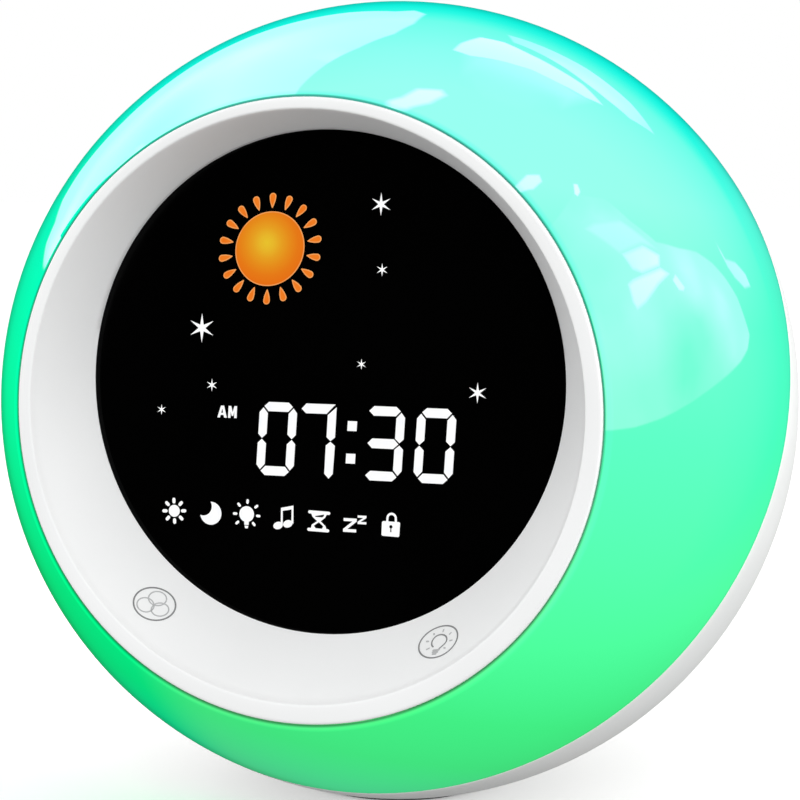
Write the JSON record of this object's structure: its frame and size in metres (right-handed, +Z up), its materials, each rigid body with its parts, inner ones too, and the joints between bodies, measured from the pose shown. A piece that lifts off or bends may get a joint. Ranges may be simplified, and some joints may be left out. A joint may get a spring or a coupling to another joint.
{
  "type": "kids alarm clock with night light",
  "caption": "Ball-shaped digital alarm clock: a glowing translucent dome around a round bezel and black display, white rear shell with keys, speaker and charging socket.",
  "frame": {"origin": "middle of the rubber pad's underside, where the clock stands on the table", "axes": "+Z up, the face looks towards -Y and leans 3.3 degrees back, +X is to the viewer's right"},
  "size_m": [0.16, 0.1317, 0.1583],
  "materials": {
    "black_plastic": "matt black moulding",
    "can": "sleeved aluminium can",
    "cell_wrap": "shrink sleeve",
    "chip": "moulded epoxy",
    "cone_paper": "pressed paper with coating",
    "connector": "natural nylon",
    "dome_plastic": "glossy, milky and translucent, lit from inside",
    "film": "printed diffuser film",
    "foam": "closed-cell foam",
    "gold_spring": "bright spring wire",
    "green_board": "glass-fibre board with solder mask",
    "inner_plastic": "plain white moulding",
    "key_plastic": "satin light grey",
    "knob_plastic": "matt dark grey",
    "lamp": "clear resin over phosphor",
    "lens_plastic": "polished smoked acrylic",
    "magnet": "ferrite",
    "pad_rubber": "matt grey silicone",
    "rear_plastic": "glossy white moulding",
    "ribbon": "flat flexible cable",
    "signal_wire": "PVC jacket",
    "steel": "zinc plated",
    "white_board": "white solder mask",
    "white_plastic": "satin white moulding",
    "wire_jacket": "PVC jacket"
  },
  "bodies": {
    "case": {"light_dome": "dome_plastic", "front_bezel": "white_plastic", "display_lens": "lens_plastic", "icon_film": "film", "light_guide": "inner_plastic", "display_board": "green_board", "display_leds": "lamp", "touch_springs": "gold_spring", "bezel_screws": "steel", "bezel_tub": "inner_plastic", "tub_screws": "steel", "chassis": "inner_plastic", "led_ring_board": "white_board", "ring_leds": "lamp", "ring_screws": "steel", "rear_shell": "rear_plastic", "case_screws": "steel", "main_board": "green_board", "main_board_screws": "steel", "main_chips": "chip", "main_capacitors": "can", "main_connectors": "connector", "battery_holder": "black_plastic", "battery_cell": "cell_wrap", "battery_screws": "steel", "speaker_gasket": "foam", "speaker_frame": "black_plastic", "speaker_cone": "cone_paper", "speaker_magnet": "magnet", "speaker_clips": "steel", "speaker_screws": "steel", "key_board": "green_board", "key_board_screws": "steel", "tact_switches": "black_plastic", "usb_socket": "steel", "slide_switch": "black_plastic", "base_pad": "pad_rubber", "foot_weight": "steel", "weight_screw": "steel", "display_ribbon": "ribbon", "speaker_leads": "wire_jacket", "battery_leads": "wire_jacket", "ring_lead": "signal_wire", "key_lead": "signal_wire"},
    "switch_slider": {"switch_knob": "knob_plastic"},
    "light_key": {"key_light": "key_plastic", "plunger_light": "knob_plastic"},
    "music_key": {"key_music": "key_plastic", "plunger_music": "knob_plastic"},
    "minus_key": {"key_minus": "key_plastic", "plunger_minus": "knob_plastic"},
    "plus_key": {"key_plus": "key_plastic", "plunger_plus": "knob_plastic"},
    "alarm_key": {"key_alarm": "key_plastic", "plunger_alarm": "knob_plastic"},
    "clock_key": {"key_clock": "key_plastic", "plunger_clock": "knob_plastic"}
  },
  "joints": [
    {"name": "press_light", "type": "slide", "parent": "case", "child": "light_key", "axis": [0, -1, 0], "range_m": [0, 0.0004], "stiffness_N_per_m": 1500},
    {"name": "press_music", "type": "slide", "parent": "case", "child": "music_key", "axis": [0, -1, 0], "range_m": [0, 0.0004], "stiffness_N_per_m": 1500},
    {"name": "press_minus", "type": "slide", "parent": "case", "child": "minus_key", "axis": [0, -1, 0], "range_m": [0, 0.0004], "stiffness_N_per_m": 1500},
    {"name": "press_plus", "type": "slide", "parent": "case", "child": "plus_key", "axis": [0, -1, 0], "range_m": [0, 0.0004], "stiffness_N_per_m": 1500},
    {"name": "press_alarm", "type": "slide", "parent": "case", "child": "alarm_key", "axis": [0, -1, 0], "range_m": [0, 0.0004], "stiffness_N_per_m": 1500},
    {"name": "press_clock", "type": "slide", "parent": "case", "child": "clock_key", "axis": [0, -1, 0], "range_m": [0, 0.0004], "stiffness_N_per_m": 1500},
    {"name": "slide_power", "type": "slide", "parent": "case", "child": "switch_slider", "axis": [-1, 0, 0], "range_m": [0, 0.003]}
  ]
}
